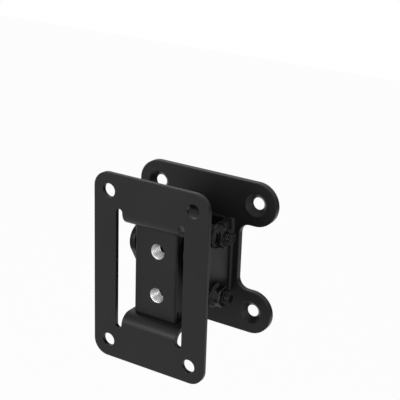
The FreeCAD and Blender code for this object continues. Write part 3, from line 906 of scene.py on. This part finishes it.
# %% The beads
BEAD_X, BEAD_Y = 16.1, -3.7
BEAD_LOW, BEAD_HIGH = reach("weld_bead_left", Z)
BEAD_RADIUS, BEAD_START_RADIUS = 1.6, 2.3
BEAD_STEP, BEAD_SWELL = 11.5, 1.2
LOW_END, LOW_END_SHARE = 0.5, 0.7
HIGH_END, HIGH_END_SHARE = 0.6, 0.75
BEAD_COLUMNS, BEAD_ROWS_PER_MM = 48, 5
LEFT_SEAM, RIGHT_SEAM = 200, 20
thin_rows = round((BEAD_STEP - BEAD_LOW) * BEAD_ROWS_PER_MM)
thick_rows = round((BEAD_HIGH - BEAD_STEP) * BEAD_ROWS_PER_MM)
bead = [(BEAD_LOW, 0, 1), (BEAD_LOW, LOW_END_SHARE * BEAD_RADIUS, 2),
        (BEAD_LOW + LOW_END, BEAD_RADIUS, 3), (BEAD_STEP, BEAD_RADIUS, thin_rows),
        (BEAD_STEP + BEAD_SWELL, BEAD_START_RADIUS, 6),
        (BEAD_HIGH - HIGH_END, BEAD_START_RADIUS, thick_rows),
        (BEAD_HIGH, HIGH_END_SHARE * BEAD_START_RADIUS, 3), (BEAD_HIGH, 0, 2)]
shaped_piece("weld_beads", BEAD, flat_sheet("bead", bead, BEAD_COLUMNS), "wall_side",
             "powder_coat", ("weld_bead_left", "weld_bead_right"), ripple_length=1.5 * MM,
             ripple_share=0.06, wander=0.8, seed=7.0, material=COAT,
             first_place=point(-BEAD_X, BEAD_Y, 0), last_place=point(BEAD_X, BEAD_Y, 0),
             first_turn=angles(LEFT_SEAM, UPRIGHT), last_turn=angles(RIGHT_SEAM, UPRIGHT))

# %% [markdown]
# ## White room and lamps
#
# The bracket was photographed in plain white space. A white world alone would
# light it evenly and hide its planes. So the world is white wherever the camera
# or a reflection looks, but gives only plain light to matt surfaces.
#
# Four soft lamps draw the planes apart. The key lamp lights the front from the
# left, a small one on the right puts glints on edges and threads, a wide one
# beside it fills the shadows, and the last lights what faces up.

# %% The white world
WHITE = (1, 1, 1, 1)
PLAIN_LIGHT, WHITE_LIGHT = 0.3, 1


def seen_ray(bench):
    """One where the camera or a reflection looks, and nought for light on matt surfaces."""
    rays = bench.add("ShaderNodeLightPath")
    return rays.at("Is Camera Ray").math("MAXIMUM", rays.at("Is Glossy Ray"))


world = bpy.data.worlds.new("white_room")
world.use_nodes = True
world.node_tree.nodes.clear()
bpy.context.scene.world = world
room = Bench(world.node_tree)
plain = room.add("ShaderNodeBackground", {"Color": WHITE, "Strength": PLAIN_LIGHT})
white = room.add("ShaderNodeBackground", {"Color": WHITE, "Strength": WHITE_LIGHT})
mixed = room.add("ShaderNodeMixShader", {0: seen_ray(room), 1: plain, 2: white})
room.add("ShaderNodeOutputWorld", {"Surface": mixed})
print("the world has", len(world.node_tree.nodes), "nodes")

# %% The lamps
CENTRE = (cad_box[0] + cad_box[1]) / 2


def soft_lamp(name, place, size, power):
    """A square lamp that looks at the bracket, in metres and watts."""
    lamp = add_object(name, bpy.data.lights.new(name, "AREA"))
    lamp.data.shape = "SQUARE"
    lamp.data.size = size
    lamp.data.energy = power
    lamp.location = Vector(place)
    lamp.rotation_euler = (CENTRE - lamp.location).to_track_quat("-Z", "Y").to_euler()
    print(name, "gives", power, "W")


soft_lamp("key_lamp", place=(-0.3, -1.0, 0.4), size=0.45, power=6)
soft_lamp("edge_lamp", place=(0.4, -0.7, 0.12), size=0.2, power=0.9)
soft_lamp("fill_lamp", place=(0.8, -0.8, 0.1), size=0.9, power=1.2)
soft_lamp("top_lamp", place=(0.1, 0.1, 1.0), size=0.7, power=1.0)

# %% [markdown]
# ## Grey card and floor
#
# In plain white space every polished side would shine as brightly as its front.
# The lamps could be moved until it doesn't, but photographers stand a grey card
# just out of the picture, where the sides mirror it. The camera itself doesn't
# see this one. The floor lies well below, as under a part on a wall, and is
# nearly as white as the world.

# %% The card
CARD_SIDE = 1.2
CARD_PLACE = Vector((0.55, 0.85, -0.3))
CARD_GREY = (0.35, 0.35, 0.35, 1)
CARD_ROUGHNESS, CARD_ROUGHER, CARD_CLOUD_SCALE = 0.7, 0.2, 20


def level_square(name, side, height=0):
    """A square that lies level at this height."""
    corners = [(x * side / 2, y * side / 2, height)
               for x, y in ((-1, -1), (1, -1), (1, 1), (-1, 1))]
    mesh = bpy.data.meshes.new(name)
    mesh.from_pydata(corners, [], [(0, 1, 2, 3)])
    return add_object(name, mesh)


card = level_square("grey_card", CARD_SIDE)
card.location = CARD_PLACE
card.rotation_euler = CARD_PLACE.to_track_quat("Z", "Y").to_euler()
card.visible_camera = False
card_finish, bench, shader = new_finish("grey_card")
feed(bench, shader, "Roughness",
     CARD_ROUGHNESS + CARD_ROUGHER * cloud_of(bench, CARD_CLOUD_SCALE))
shader.inputs["Base Color"].default_value = CARD_GREY
card.data.materials.append(card_finish)
print("the grey card is", CARD_SIDE, "m wide")

# %% The floor
FLOOR_LEVEL = -0.4
FLOOR_SIDE = 4
FLOOR_PAINT = (0.9, 0.9, 0.9, 1)
FLOOR_SHARE_OF_WHITE = 0.96
floor = level_square("floor", FLOOR_SIDE, FLOOR_LEVEL)
floor_finish, bench, shader = new_finish("pale_floor")
shader.inputs["Base Color"].default_value = FLOOR_PAINT
glow = bench.add("ShaderNodeEmission", {"Color": WHITE, "Strength": WHITE_LIGHT})
mixed = bench.add("ShaderNodeMixShader", {
    0: seen_ray(bench) * FLOOR_SHARE_OF_WHITE, 1: Wire(bench, shader.outputs[0]), 2: glow})
end = floor_finish.node_tree.nodes["Material Output"]
feed(bench, end, "Surface", mixed)
floor.data.materials.append(floor_finish)
print("the floor lies", -FLOOR_LEVEL, "m below the bracket's middle")
